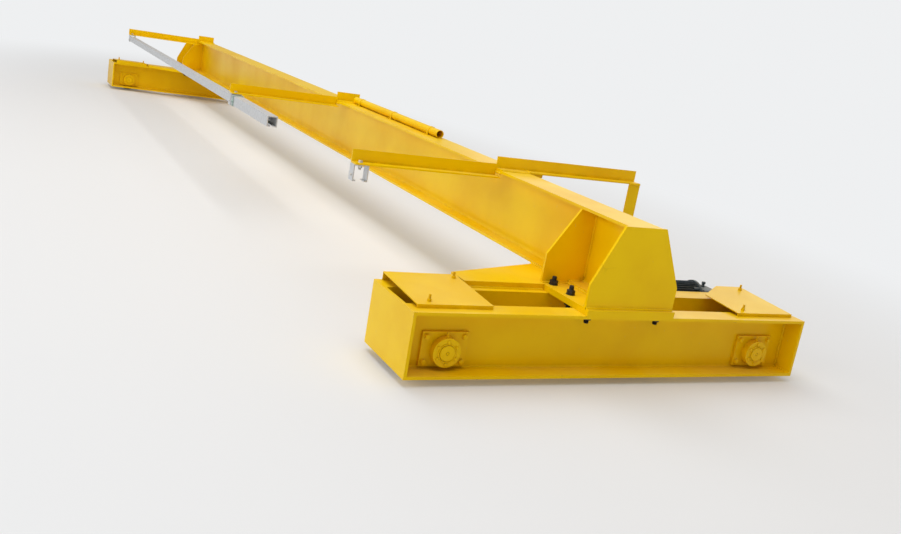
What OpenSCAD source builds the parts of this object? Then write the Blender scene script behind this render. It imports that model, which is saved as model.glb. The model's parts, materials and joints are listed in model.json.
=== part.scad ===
// Overhead travelling crane bridge: one rolled girder on two end trucks.
// Millimetres, +Z up. X runs along the girder, Y along the end trucks.
// The origin is at mid-span, on the level that the wheels stand on.
// The festoon arms reach to -Y and the collector bracket to +Y.

/* [Bridge] */
// Distance between the centre lines of the two end trucks
rail_span = 8100; // [6000:50:12000]
// Depth of the rolled girder
girder_depth = 325; // [280:5:450]
// Width of the girder's flanges
girder_flange_w = 160; // [140:2:180]
// Thickness of the girder's flanges
girder_flange_t = 12; // [9:1:20]
// Thickness of the girder's web
girder_web_t = 8; // [6:1:14]

/* [End trucks] */
// Length of an end truck over its end plates
truck_len = 1840; // [1640:10:2400]
// Width of an end truck over its channel flanges
truck_w = 385; // [370:5:450]
// Depth of the truck's channels
channel_h = 250; // [240:5:320]
// Width of a channel flange, web included
channel_flange_w = 100; // [90:1:105]
// Thickness of a channel flange
channel_flange_t = 12; // [8:1:13]
// Thickness of a channel web
channel_web_t = 9; // [6:1:14]
// Thickness of the plates that close the truck's ends
end_plate_t = 12; // [6:1:16]

/* [Wheels] */
// Distance of an axle from the end of its truck
axle_inset = 180; // [160:5:200]
// Diameter of the wheel's running tread
tread_d = 190; // [170:2:200]
// Diameter over the wheel's two guide flanges
wheel_flange_d = 220; // [210:2:240]
// Thickness of a guide flange at its rim
wheel_flange_t = 12; // [8:1:18]
// Width of the tread between the guide flanges
tread_w = 64; // [50:2:80]
// Slope of a guide flange's inner face, as a run at the tread
flange_taper = 4; // [1:1:6]
// Diameter of the wheel's hub
hub_d = 100; // [80:2:130]
// Length of the wheel's hub
hub_len = 160; // [120:5:165]
// Diameter of the axle
axle_d = 60; // [45:1:65]
// Height of the axle above the truck's underside
axle_above_truck = 82; // [81:1:92]

/* [Axle bearings] */
// Width of a bearing's back plate
bearing_plate_w = 186; // [140:2:210]
// Height of a bearing's back plate
bearing_plate_h = 132; // [126:2:142]
// Thickness of a bearing's back plate
bearing_plate_t = 12; // [8:1:16]
// Diameter of the bearing's round boss
bearing_boss_d = 112; // [90:2:126]
// Length of the boss beyond its back plate
bearing_boss_len = 30; // [20:1:34]
// Length of axle that shows beyond the boss
axle_end_out = 6; // [2:1:8]

/* [Girder seats] */
// Thickness of the seat's base plate and of the corner gussets
base_plate_t = 25; // [16:1:32]
// Length of the base plate along the truck
base_plate_l = 412; // [320:4:480]
// Thickness of the upright seat plates
seat_plate_t = 12; // [8:1:20]
// Width of the outer seat plate at its top
seat_top_w = 190; // [180:2:240]
// Height of the outer seat plate's upright edges at the foot
seat_foot_h = 92; // [40:2:120]
// Height of the inner seat plates' upright edges at the foot
inner_foot_h = 120; // [60:2:160]
// Distance of the outer seat plate from the truck's outer face
seat_inset = 20; // [15:1:60]
// Distance of the inner seat plates from the truck's inner face
inner_seat_inset = 25; // [20:1:80]
// Reach of the corner gussets along the girder
gusset_reach = 272; // [200:4:340]
// Width of a corner gusset's square end beyond the truck
gusset_end_w = 60; // [30:2:80]
// Lap of the corner gussets on the truck's inner flange
gusset_lap = 60; // [30:2:80]
// Lap of the corner gussets under the girder's flange
gusset_flange_lap = 50; // [20:1:60]

/* [Wheel covers] */
// Length of a wheel cover along the truck
cover_l = 304; // [240:4:320]
// Distance of a cover from the truck's end plate
cover_end_gap = 20; // [10:1:40]
// Thickness of a cover's sheet
cover_t = 4; // [3:0.5:6]
// Height of a cover's folded lip at the truck's outer side
cover_lip_low = 10; // [6:1:20]
// Height of a cover's folded lip at the truck's inner side
cover_lip_high = 28; // [14:1:40]
// Distance of the cover's low lip from the truck's outer face
cover_inset_outer = 50; // [20:1:70]
// Distance of the cover's high lip from the truck's inner face
cover_inset_inner = 2; // [1:1:20]
// Width of the corner cut from a drive-side cover, across the truck
cover_cut_w = 120; // [60:2:180]
// Length of the corner cut from a drive-side cover, along the truck
cover_cut_l = 160; // [80:2:220]

/* [Travel drives] */
// Diameter of the travel motor's body
motor_d = 132; // [110:2:136]
// Length of the travel motor, its fan cowl and end flange included
motor_len = 202; // [160:2:240]
// Height of the motor's axis above the truck's underside
motor_above_truck = 212; // [208:1:224]
// Distance of the motor's axis from the truck's inner face
motor_out = 75; // [74:1:84]
// Width of the gearbox along the truck
gearbox_w = 100; // [90:2:120]
// Diameter of the gearbox round its output shaft
gearbox_d = 132; // [110:2:134]
// Height of the gearbox's top above the truck's underside
gearbox_top = 246; // [232:1:256]
// Clearance between the gearbox housing and the truck's inner face
gearbox_clear = 12; // [8:1:18]
// Thickness of the gearbox's upper housing across the truck
gearbox_t = 120; // [100:2:140]

/* [Festoon arms] */
// Reach of a festoon arm from the girder's centre line
arm_reach = 800; // [700:5:900]
// Height of a festoon arm's upright leg above the girder
arm_h = 60; // [50:1:100]
// Width of a festoon arm's flat leg
arm_w = 60; // [50:1:90]
// Thickness of the arms' steel angle
angle_t = 7; // [5:0.5:10]
// Drop of the arm's flat leg below the girder's top
arm_drop = 35; // [26:1:45]
// Distance of the near arm from the near truck's inner face
near_arm_in = 665; // [500:5:900]
// Distance of the middle arm from the near arm
middle_arm_in = 2310; // [2000:10:2800]
// Distance of the far arm from the far truck's inner face
far_arm_in = 70; // [20:5:300]

/* [Collector bracket] */
// Reach of the collector arm from the girder's centre line
collector_reach = 723; // [500:1:900]
// Width of the collector leg's angle
collector_leg_w = 65; // [50:1:80]
// Thickness of the collector leg's angle
collector_leg_t = 6; // [5:0.5:10]
// Length of the hanging leg
collector_drop = 300; // [150:5:400]
// Length of the knee under the collector arm
collector_knee_l = 80; // [50:1:120]
// Height of the knee under the collector arm
collector_knee_h = 48; // [30:1:80]

/* [Festoon track] */
// Distance of the track from the girder's centre line
track_out = 768; // [500:2:780]
// Width and height of the track
track_w = 48; // [40:1:56]
// Wall thickness of the track
track_wall = 3; // [2:0.5:5]
// Width of the slot along the track's underside
track_slot = 16; // [8:1:24]
// Distance of the track's top below the arms' flat legs
track_gap = 15; // [14:1:60]
// Distance of the track's far end from the far truck's inner face
track_far_in = 100; // [75:5:130]
// Length of the thicker joint sleeve at the track's near end
sleeve_l = 946; // [400:2:1600]
// Length of track inside the sleeve
sleeve_lap = 80; // [70:2:160]
// Wall thickness of the sleeve
sleeve_wall = 6; // [4:0.5:8]
// Width of a track hanger along the track
hanger_w = 50; // [30:1:60]
// Thickness of a track hanger
hanger_t = 5; // [3:0.5:8]

/* [Conduit] */
// Outer diameter of the conduit on the girder
conduit_d = 46; // [30:1:56]
// Wall of the conduit
conduit_wall = 3; // [2:0.5:5]
// Length of the conduit
conduit_len = 1351; // [500:1:2000]
// Distance of the conduit from the girder's centre line
conduit_out = 40; // [30:1:56]

/* [Hidden] */
$fn = 64;

// Clearances and small sizes
shaft_clear = 0.05;
web_hole_clear = 5;
girder_root_r = 15;
channel_root_r = 9;
gusset_cover_gap = 14;
gusset_motor_gap = 50;
gearbox_axle_clear = 2.5;
driven_axle_out = 6;
lug_w = 40;
lug_h = 30;
lug_above_bearing = 10;
motor_flange_t = 12;
motor_flange_out = 4;
cowl_l = 56;
cowl_in = 5;
terminal_box = [64, 70, 28];
flange_edge_gap = 0.5;
knee_t = 8;
hanger_clear = 0.3;
hanger_lip = 10;
sleeve_clear = 0.3;
conduit_arm_gap = 5;
cut = 1;

// Overall places
overall = rail_span + truck_w;
truck_z = wheel_flange_d / 2 - axle_above_truck;
truck_top = truck_z + channel_h;
axle_z = truck_z + axle_above_truck;
axle_y = truck_len / 2 - axle_inset;
girder_z = truck_top + base_plate_t;
girder_top = girder_z + girder_depth;
girder_end = overall / 2 - seat_inset - seat_plate_t;
near_arm_x = overall / 2 - truck_w - near_arm_in - arm_w;
middle_arm_x = near_arm_x - middle_arm_in;
far_arm_x = -overall / 2 + truck_w + far_arm_in;
arm_z = girder_top - arm_drop;
track_top = arm_z - track_gap;
track_near = middle_arm_x + arm_w;
track_far = -overall / 2 + truck_w + track_far_in;
sleeve_far = track_near - sleeve_lap;
motor_z = truck_z + motor_above_truck;
motor_y = axle_y - gearbox_w / 2;
cover_y = truck_len / 2 - end_plate_t - cover_end_gap - cover_l;

// Places across a truck, from its outer face
outer_web = -channel_flange_w + channel_web_t;
inner_web = -truck_w + channel_flange_w - channel_web_t;
boss_reach = bearing_plate_t + bearing_boss_len;

// Paint and steel
yellow = [0.96, 0.74, 0.02];
steel = [0.55, 0.57, 0.58];
drive_blue = [0.13, 0.19, 0.28];

// Puts a piece at the near end, or mirrored at the far end of the bridge.
// There x is 0 at the truck's outer face and negative towards mid-span.
module at_truck(end) {
    if (end == "near") translate([overall / 2, 0, 0]) children();
    if (end == "far") mirror([1, 0, 0]) translate([overall / 2, 0, 0]) children();
}

// Draws a YZ outline along X, starting at x 0
module along_x(length) {
    rotate([90, 0, 90]) linear_extrude(length) children();
}

// Draws an XZ outline along Y, starting at y 0
module along_y(length) {
    translate([0, length, 0]) rotate([90, 0, 0]) linear_extrude(length) children();
}

// Round bar along X, starting at x 0
module bar_x(d, length) {
    rotate([0, 90, 0]) cylinder(d = d, h = length);
}

// Round bar along Y, starting at y 0
module bar_y(d, length) {
    rotate([-90, 0, 0]) cylinder(d = d, h = length);
}

// Rolled fillet for an inside corner at [0, 0] that opens to +X and +Y
module root_fillet(r) {
    difference() {
        square([r, r]);
        translate([r, r]) circle(r = r);
    }
}

// Rolled section of the girder, standing on z 0, with rounded roots
module girder_section() {
    translate([-girder_flange_w / 2, 0]) square([girder_flange_w, girder_flange_t]);
    translate([-girder_flange_w / 2, girder_depth - girder_flange_t])
        square([girder_flange_w, girder_flange_t]);
    translate([-girder_web_t / 2, 0]) square([girder_web_t, girder_depth]);
    for (side = [0, 1], top = [0, 1])
        mirror([side, 0]) translate([0, top * girder_depth]) mirror([0, top])
            translate([girder_web_t / 2, girder_flange_t]) root_fillet(girder_root_r);
}

module girder() {
    color(yellow) translate([-girder_end, 0, girder_z]) along_x(2 * girder_end) girder_section();
}

// Rolled channel section with its web at x 0 and its flanges towards +X
module channel_section() {
    square([channel_web_t, channel_h]);
    for (top = [0, 1]) translate([0, top * channel_h]) mirror([0, top]) {
        square([channel_flange_w, channel_flange_t]);
        translate([channel_web_t, channel_flange_t]) root_fillet(channel_root_r);
    }
}

module truck_channel(end, outer) {
    length = truck_len - 2 * end_plate_t;
    color(yellow) at_truck(end) difference() {
        translate([outer ? -channel_flange_w : -truck_w + channel_flange_w, -length / 2, truck_z])
            mirror([outer ? 0 : 1, 0, 0]) along_y(length) channel_section();
        for (side = [-1, 1]) translate([-truck_w - cut, side * axle_y, axle_z])
            bar_x(axle_d + 2 * web_hole_clear, truck_w + 2 * cut);
    }
}

module end_plates(end) {
    color(yellow) at_truck(end) for (side = [0, 1]) mirror([0, side, 0])
        translate([-truck_w, truck_len / 2 - end_plate_t, truck_z])
            cube([truck_w, end_plate_t, channel_h]);
}

// Folded sheet over each wheel, with a low lip outside and a high lip inside
module wheel_covers(end) {
    run = truck_w - cover_inset_outer - cover_inset_inner;
    color(yellow) at_truck(end) for (side = [0, 1]) mirror([0, side, 0]) difference() {
        translate([-cover_inset_outer, cover_y, truck_top]) along_y(cover_l) polygon([
            [0, 0], [0, cover_lip_low + cover_t], [-run, cover_lip_high + cover_t], [-run, 0],
            [-run + cover_t, 0], [-run + cover_t, cover_lip_high], [-cover_t, cover_lip_low],
            [-cover_t, 0]
        ]);
        if (side == 0)
            translate([-truck_w + cover_inset_inner, cover_y, truck_top - cut])
                linear_extrude(cover_lip_high + cover_t + 2 * cut) polygon([
                    [-cut, -cut], [cover_cut_w, -cut], [0, cover_cut_l], [-cut, cover_cut_l]
                ]);
    }
}

// One bearing: a back plate on the web and a round boss that carries the axle
module bearing() {
    foot = truck_z + channel_flange_t + channel_root_r;
    difference() {
        union() {
            translate([0, -bearing_plate_w / 2, foot])
                cube([bearing_plate_t, bearing_plate_w, bearing_plate_h]);
            translate([0, 0, axle_z]) bar_x(bearing_boss_d, boss_reach);
        }
        translate([-cut, 0, axle_z]) bar_x(axle_d + 2 * shaft_clear, boss_reach + 2 * cut);
    }
}

module bearings(end) {
    color(yellow) at_truck(end) for (side = [-1, 1]) {
        translate([outer_web, side * axle_y, 0]) bearing();
        translate([inner_web, side * axle_y, 0]) mirror([1, 0, 0]) bearing();
    }
}

module base_plate(end) {
    color(yellow) at_truck(end) translate([-truck_w, -base_plate_l / 2, truck_top])
        cube([truck_w, base_plate_l, base_plate_t]);
}

// Seat plate outline, upright at the foot and slanting in to its top
module seat_outline(top_w, top, foot_h) {
    polygon([
        [-base_plate_l / 2, 0], [base_plate_l / 2, 0], [base_plate_l / 2, foot_h],
        [top_w / 2, top], [-top_w / 2, top], [-base_plate_l / 2, foot_h]
    ]);
}

// Plate that closes the girder's end
module outer_seat_plate(end) {
    color(yellow) at_truck(end) translate([-seat_inset - seat_plate_t, 0, girder_z])
        along_x(seat_plate_t) seat_outline(seat_top_w, girder_depth, seat_foot_h);
}

// Pair of plates beside the girder's web, over the truck's inner channel
module inner_seat_plates(end) {
    color(yellow) at_truck(end) translate([-truck_w + inner_seat_inset, 0, girder_z])
        along_x(seat_plate_t) difference() {
            seat_outline(girder_flange_w, girder_depth - girder_flange_t, inner_foot_h);
            girder_section();
        }
}

// Triangular plates in the two corners between the truck and the girder.
// The one beside the motor is shorter.
module corner_gussets(end) {
    lap_y = girder_flange_w / 2 - gusset_flange_lap;
    foot_y = base_plate_l / 2;
    plain_y = cover_y - gusset_cover_gap;
    drive_y = min(plain_y, motor_y - motor_len - gusset_motor_gap);
    color(yellow) at_truck(end) for (side = [-1, 1]) {
        end_y = side > 0 ? drive_y : plain_y;
        translate([0, 0, truck_top]) linear_extrude(base_plate_t) polygon([
            [-truck_w, side * lap_y], [-truck_w - gusset_reach, side * lap_y],
            [-truck_w - gusset_end_w, side * end_y], [-truck_w + gusset_lap, side * end_y],
            [-truck_w + gusset_lap, side * foot_y], [-truck_w, side * foot_y]
        ]);
    }
}

// Gearbox on the driven axle, with a lug that ties it to the truck's web
module gearbox(end) {
    boss_x = inner_web - boss_reach - gearbox_axle_clear;
    front_x = -truck_w - gearbox_clear;
    back_x = front_x - gearbox_t;
    top_z = truck_z + gearbox_top;
    lug_z = truck_z + channel_flange_t + channel_root_r + bearing_plate_h + lug_above_bearing;
    color(drive_blue) at_truck(end) difference() {
        union() {
            translate([back_x, axle_y, axle_z]) bar_x(gearbox_d, boss_x - back_x);
            translate([back_x, motor_y, axle_z]) cube([gearbox_t, gearbox_w, top_z - axle_z]);
            translate([front_x - cut, motor_y, lug_z]) cube([inner_web - front_x + cut, lug_w, lug_h]);
        }
        translate([back_x - cut, axle_y, axle_z])
            bar_x(axle_d + 2 * shaft_clear, boss_x - back_x + 2 * cut);
    }
}

// Travel motor along the truck, with its end flange, fan cowl and terminal box
module motor(end) {
    color(drive_blue) at_truck(end)
        translate([-truck_w - motor_out, motor_y - motor_len, motor_z]) union() {
            bar_y(motor_d - 2 * cowl_in, motor_len);
            bar_y(motor_d, cowl_l);
            translate([0, motor_len - motor_flange_t, 0])
                bar_y(motor_d + 2 * motor_flange_out, motor_flange_t);
            translate([
                -motor_d / 2 + 2 * cowl_in - terminal_box[2],
                cowl_l + (motor_len - cowl_l - terminal_box[1]) / 2, -terminal_box[0] / 2
            ])
                cube([terminal_box[2], terminal_box[1], terminal_box[0]]);
        }
}

// Double-flanged wheel, turned about X
module wheel(end, y) {
    rim = tread_w / 2 + wheel_flange_t;
    color(steel) at_truck(end) translate([-truck_w / 2, y, axle_z]) rotate([0, 90, 0])
        rotate_extrude() polygon([
            [axle_d / 2, -hub_len / 2], [hub_d / 2, -hub_len / 2], [hub_d / 2, -rim],
            [wheel_flange_d / 2, -rim],
            [wheel_flange_d / 2, -tread_w / 2 - flange_taper], [tread_d / 2, -tread_w / 2],
            [tread_d / 2, tread_w / 2], [wheel_flange_d / 2, tread_w / 2 + flange_taper],
            [wheel_flange_d / 2, rim], [hub_d / 2, rim], [hub_d / 2, hub_len / 2],
            [axle_d / 2, hub_len / 2]
        ]);
}

module axle(end, y, driven) {
    outer_end = outer_web + boss_reach + axle_end_out;
    inner_end = driven ? -truck_w - gearbox_clear - gearbox_t - driven_axle_out
        : inner_web - boss_reach - axle_end_out;
    color(steel) at_truck(end) translate([inner_end, y, axle_z])
        bar_x(axle_d, outer_end - inner_end);
}

// Angle along Y: a flat leg towards +X and an upright leg behind it
module angle_bar(length, flat, upright, t) {
    cube([flat, length, t]);
    cube([t, length, upright]);
}

// Festoon arm: it stands on the girder and steps down outside the flange
module festoon_arm(x) {
    edge = girder_flange_w / 2;
    color(yellow) translate([x, 0, 0]) union() {
        translate([0, -edge, girder_top]) angle_bar(2 * edge, arm_w, arm_h, angle_t);
        translate([0, -arm_reach, arm_z])
            angle_bar(arm_reach - edge - flange_edge_gap, arm_w, arm_h, angle_t);
        translate([0, -edge - cut, girder_top]) cube([angle_t, 2 * cut, arm_h - arm_drop]);
    }
}

// Angle beside the near arm that carries the hanging leg of the collector
module collector_arm() {
    edge = girder_flange_w / 2;
    color(yellow) translate([near_arm_x, edge, girder_top])
        angle_bar(collector_reach - edge, arm_w, arm_h, angle_t);
}

module collector_leg() {
    color(yellow)
        translate([
            near_arm_x + arm_w - collector_leg_w, collector_reach - collector_leg_w,
            girder_top - collector_drop
        ])
            union() {
                translate([0, collector_leg_w - collector_leg_t, 0])
                    cube([collector_leg_w, collector_leg_t, collector_drop]);
                translate([collector_leg_w - collector_leg_t, 0, 0])
                    cube([collector_leg_t, collector_leg_w, collector_drop]);
            }
}

// Knee plate between the girder's flange and the collector arm
module collector_knee() {
    edge = girder_flange_w / 2;
    color(yellow) translate([near_arm_x + arm_w / 2, 0, girder_top - collector_knee_h])
        along_x(knee_t) polygon([
            [edge, 0], [edge, collector_knee_h], [edge + collector_knee_l, collector_knee_h],
            [edge + collector_knee_l, collector_knee_h - 2 * knee_t], [edge + 2 * knee_t, 0]
        ]);
}

// C section that hangs below z 0, with a slot along its underside
module c_section(size, wall) {
    difference() {
        translate([-size / 2, -size]) square([size, size]);
        translate([-size / 2 + wall, -size + wall]) square([size - 2 * wall, size - 2 * wall]);
        translate([-track_slot / 2, -size - cut]) square([track_slot, wall + 2 * cut]);
    }
}

module festoon_track() {
    color(steel) translate([track_far, -track_out, track_top])
        along_x(track_near - track_far) c_section(track_w, track_wall);
}

// Thicker sleeve: the end of the track rests inside it
sleeve_w = track_w + 2 * (sleeve_clear + sleeve_wall);
sleeve_top = track_top - track_w - sleeve_wall + sleeve_w;
module track_sleeve() {
    color(steel) translate([sleeve_far, -track_out, sleeve_top])
        along_x(sleeve_l) c_section(sleeve_w, sleeve_wall);
}

// Strap under an arm that goes round a rail of the given size
module track_hanger(x, size, rail_top) {
    half = size / 2 + hanger_clear;
    foot = rail_top - size;
    translate([x + (arm_w - hanger_w) / 2, -track_out, 0]) along_x(hanger_w) {
        translate([-half - hanger_t, arm_z - hanger_t]) square([2 * (half + hanger_t), hanger_t]);
        for (side = [0, 1]) mirror([side, 0]) {
            translate([half, foot - hanger_t]) square([hanger_t, arm_z - foot + hanger_t]);
            translate([half - hanger_lip, foot - hanger_t]) square([hanger_lip + hanger_t, hanger_t]);
        }
    }
}

module track_hangers() {
    color(steel) {
        track_hanger(near_arm_x, sleeve_w, sleeve_top);
        track_hanger(middle_arm_x, sleeve_w, sleeve_top);
        track_hanger(far_arm_x, track_w, track_top);
    }
}

module conduit() {
    color(yellow)
        translate([middle_arm_x + arm_w + conduit_arm_gap, conduit_out, girder_top + conduit_d / 2])
            difference() {
                bar_x(conduit_d, conduit_len);
                translate([-cut, 0, 0]) bar_x(conduit_d - 2 * conduit_wall, conduit_len + 2 * cut);
            }
}

girder();
truck_channel("near", true);  // near_outer_channel
truck_channel("near", false);  // near_inner_channel
end_plates("near");  // near_end_plates
wheel_covers("near");  // near_wheel_covers
bearings("near");  // near_bearings
base_plate("near");  // near_base_plate
outer_seat_plate("near");  // near_outer_seat_plate
inner_seat_plates("near");  // near_inner_seat_plates
corner_gussets("near");  // near_corner_gussets
gearbox("near");  // near_gearbox
motor("near");  // near_motor
wheel("near", -axle_y);  // near_idle_wheel
axle("near", -axle_y, false);  // near_idle_axle
wheel("near", axle_y);  // near_driven_wheel
axle("near", axle_y, true);  // near_driven_axle
truck_channel("far", true);  // far_outer_channel
truck_channel("far", false);  // far_inner_channel
end_plates("far");  // far_end_plates
wheel_covers("far");  // far_wheel_covers
bearings("far");  // far_bearings
base_plate("far");  // far_base_plate
outer_seat_plate("far");  // far_outer_seat_plate
inner_seat_plates("far");  // far_inner_seat_plates
corner_gussets("far");  // far_corner_gussets
gearbox("far");  // far_gearbox
motor("far");  // far_motor
wheel("far", -axle_y);  // far_idle_wheel
axle("far", -axle_y, false);  // far_idle_axle
wheel("far", axle_y);  // far_driven_wheel
axle("far", axle_y, true);  // far_driven_axle
festoon_arm(near_arm_x);  // near_festoon_arm
festoon_arm(middle_arm_x);  // middle_festoon_arm
festoon_arm(far_arm_x);  // far_festoon_arm
collector_arm();
collector_leg();
collector_knee();
festoon_track();
track_sleeve();
track_hangers();
conduit();
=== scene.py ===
"""Looks of an overhead crane bridge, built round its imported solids.

Metres, +Z up. X runs along the girder, with the collector arm at the +X end.
Y runs along the end trucks, with the travel drives at +Y.
"""

import json
import math
from itertools import product

import bmesh
import bpy
from mathutils import Matrix, Vector


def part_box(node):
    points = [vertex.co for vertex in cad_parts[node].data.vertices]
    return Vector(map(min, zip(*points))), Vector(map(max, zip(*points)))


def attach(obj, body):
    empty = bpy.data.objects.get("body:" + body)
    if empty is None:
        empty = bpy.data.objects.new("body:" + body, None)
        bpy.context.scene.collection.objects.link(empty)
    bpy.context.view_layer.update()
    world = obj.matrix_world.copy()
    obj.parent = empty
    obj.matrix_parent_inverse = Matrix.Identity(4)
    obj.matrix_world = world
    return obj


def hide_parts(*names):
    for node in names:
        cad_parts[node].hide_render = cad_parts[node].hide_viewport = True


bl_info = {
    "name": "Overhead crane bridge",
    "version": (1, 0, 0),
    "blender": (4, 5, 0),
    "location": "View3D > Sidebar > Crane",
    "description": "Paint, welds, bolts and fittings of a single-girder crane bridge",
    "category": "Object",
}

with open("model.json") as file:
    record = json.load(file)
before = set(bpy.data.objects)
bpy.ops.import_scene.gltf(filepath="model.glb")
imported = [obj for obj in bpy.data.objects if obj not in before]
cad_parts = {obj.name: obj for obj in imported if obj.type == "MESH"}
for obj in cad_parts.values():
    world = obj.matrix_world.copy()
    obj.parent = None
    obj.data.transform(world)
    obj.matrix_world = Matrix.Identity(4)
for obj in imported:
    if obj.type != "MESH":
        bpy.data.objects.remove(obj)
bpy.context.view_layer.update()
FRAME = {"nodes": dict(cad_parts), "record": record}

ENDS = (("near", 1), ("far", -1))
SIDES = (("idle", -1), ("driven", 1))
ARMS = ("near_festoon_arm", "middle_festoon_arm", "far_festoon_arm")


def low(node):
    """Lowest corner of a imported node."""
    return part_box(node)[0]


def high(node):
    """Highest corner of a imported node."""
    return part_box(node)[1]


# Places that the fittings are set out from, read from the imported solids
PLATES_LOW, PLATES_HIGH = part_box("near_end_plates")
OUTER_X = PLATES_HIGH.x
TRUCK_W = OUTER_X - PLATES_LOW.x
TRUCK_Z, TRUCK_TOP = PLATES_LOW.z, PLATES_HIGH.z
CHANNEL_END_Y = high("near_outer_channel").y
FLANGE_W = OUTER_X - low("near_outer_channel").x
BASE_TOP = high("near_base_plate").z
BASE_Y = high("near_base_plate").y
GIRDER_TOP = high("girder").z
GIRDER_Y = high("girder").y
WHEEL_LOW, WHEEL_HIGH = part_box("near_driven_wheel")
WHEEL_R = (WHEEL_HIGH.z - WHEEL_LOW.z) / 2
WHEEL_Z = (WHEEL_LOW.z + WHEEL_HIGH.z) / 2
WHEEL_Y = (WHEEL_LOW.y + WHEEL_HIGH.y) / 2

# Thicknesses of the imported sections, which their boxes don't show
CHANNEL_WEB_T = 0.009
CHANNEL_FLANGE_T = 0.012
GIRDER_FLANGE_T = 0.012
GIRDER_ROOT_R = 0.015
GIRDER_WEB_T = 0.008
ANGLE_T = 0.007

# Seats: faces of the cap plate and the inner plates, and rows of studs, all inward from
# a truck's outer face; reach of the lowest plates, ends of the web's beads, studs' Y
CAP_FACES = (0.02, 0.032)
SEAT_FACES = (TRUCK_W - 0.025, TRUCK_W - 0.037)
STUD_ROWS = (0.056, TRUCK_W / 2, 0.322)
SEAT_REACH, WEB_BEAD_INSET, STUD_Y = 0.262, 0.03, 0.165

# Channel ends: clearance of the beads from the web's root, at the web and at the flanges
ROOT_Z, ROOT_X = 0.022, 0.012

# Wheel covers: lip, rise across the truck and height, and bolts as (inward, Y)
COVER_LIP, COVER_RISE, COVER_H = 0.05, 0.018, 0.014
COVER_BOLTS = ((0.085, -0.828), (0.34, -0.612), (0.085, 0.64), (0.34, 0.848))

# Distance at which two places count as one
SAME_PLACE = 1e-6

# Hexagons and washers, in diameters of their thread
HEX_ACROSS, HEAD_H, NUT_H = 1.5, 0.64, 0.8
WASHER_T, THREAD_PITCH = 0.15, 0.125

# Bearings: plate and boss faces from the channel's web, bolt places, and boss bolts
BEARING_FACE, BOSS_FACE, NIPPLE_FOOT = 0.012, 0.042, 0.027
BEARING_BOLT_Y, BEARING_BOLT_EDGE = 0.076, 0.018
BOSS_BOLT_R, BOSS_BOLT_D = 0.0425, 0.007

# Wheels: half width of rim and tread, radii, and the rounding of edges
RIM_HALF, TREAD_HALF = 0.044, 0.032
TREAD_R, HUB_R, AXLE_R = 0.095, 0.05, 0.03
KEEPER_T = 0.0045

# Travel drives: envelope, shell, fin tips and cowl of a motor, and the gearbox's faces
MOTOR_R, SHELL_R, FIN_R, COWL_R = 0.07, 0.057, 0.0655, 0.066
FIN_T, BOX_GAP_COS = 0.0022, 0.86
CORNERS = [math.radians(45 + 90 * k) for k in range(4)]
GEARBOX_FRONT, GEARBOX_BACK = TRUCK_W + 0.012, TRUCK_W + 0.132

# Outlines of small turned fittings, as (radius, height)
BEARING_RING = ((0.0315, 0.0), (0.0365, 0.0), (0.0365, 0.0022), (0.035, 0.0035),
                (0.033, 0.0035), (0.0315, 0.0022))
NIPPLE = ((0.0, 0.0), (0.006, 0.0), (0.006, 0.006), (0.003, 0.008), (0.0026, 0.012),
          (0.0042, 0.0145), (0.003, 0.0175), (0.0, 0.018))
KEEPER = ((0.0, -0.001), (0.0265, -0.001), (0.0275, 0.0), (0.0275, 0.0035),
          (0.0265, KEEPER_T), (0.0, KEEPER_T))
COWL = ((0.02, 0.0), (0.054, 0.0), (0.062, 0.003), (COWL_R, 0.01), (COWL_R, 0.06),
        (COWL_R - 0.0018, 0.06), (COWL_R - 0.0018, 0.011), (0.0605, 0.0048),
        (0.0535, 0.0018), (0.02, 0.0018))
COWL_DISC = ((0.0, 0.002), (0.0215, 0.002), (0.0215, 0.0035), (0.0, 0.0035))
GLAND = ((0.0, 0.0), (0.0085, 0.0), (0.0085, 0.004), (0.0075, 0.005), (0.0075, 0.009),
         (0.006, 0.0115), (0.0, 0.012))
SHAFT_RING = ((0.0325, -0.001), (0.05, -0.001), (0.05, 0.0035), (0.048, 0.005),
              (0.036, 0.005), (0.0325, 0.0035))
BREATHER = ((0.0, 0.0), (0.0085, 0.0), (0.0085, 0.006), (0.006, 0.007), (0.006, 0.013),
            (0.009, 0.014), (0.009, 0.022), (0.007, 0.024), (0.0, 0.0245))

# Floor and backdrop: colour, and the distances over which the floor fades into it
FLOOR_HALF, FLOOR_GAP = 60.0, 0.001
BACKDROP = (0.86, 0.87, 0.88)
FADE_START, FADE_END, FADE_SQUEEZE = 1.2, 4.2, 0.42

# Room light, and lamps as name, place, aim, width, height and watts
FILL_COLOUR, FILL_STRENGTH = (1.0, 0.92, 0.84), 0.36
LAMPS = (("overhead panel", (1.0, -1.0, 6.5), (1.0, 0.0, 0.0), 13.0, 5.0, 430.0),
         ("side panel", (4.5, -9.0, 4.0), (3.0, 0.0, 0.3), 9.0, 3.5, 270.0),
         ("back panel", (-5.0, 8.0, 4.5), (-1.0, 0.0, 0.3), 9.0, 3.5, 150.0))

# Camera fitted to the photograph's vanishing lines, its lens in pixels of the image
CAMERA_PLACE = (OUTER_X + 2.8492, -2.3171, 1.1999 + TRUCK_Z)
CAMERA_YAW, CAMERA_PITCH, CAMERA_ROLL = 2.6543, -0.2459, 0.1726
FOCAL_PX, IMAGE_W, SENSOR_W, SHIFT_Y = 969.8, 901.0, 36.0, 0.008


def length_of(name, note, value, least, most):
    """Property that is a length."""
    return bpy.props.FloatProperty(
        name=name, description=note, default=value, min=least, max=most,
        unit="LENGTH", subtype="DISTANCE")


def colour_of(name, note, value):
    """Property that is a colour."""
    return bpy.props.FloatVectorProperty(
        name=name, description=note, default=value, min=0, max=1, size=3, subtype="COLOR")


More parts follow.
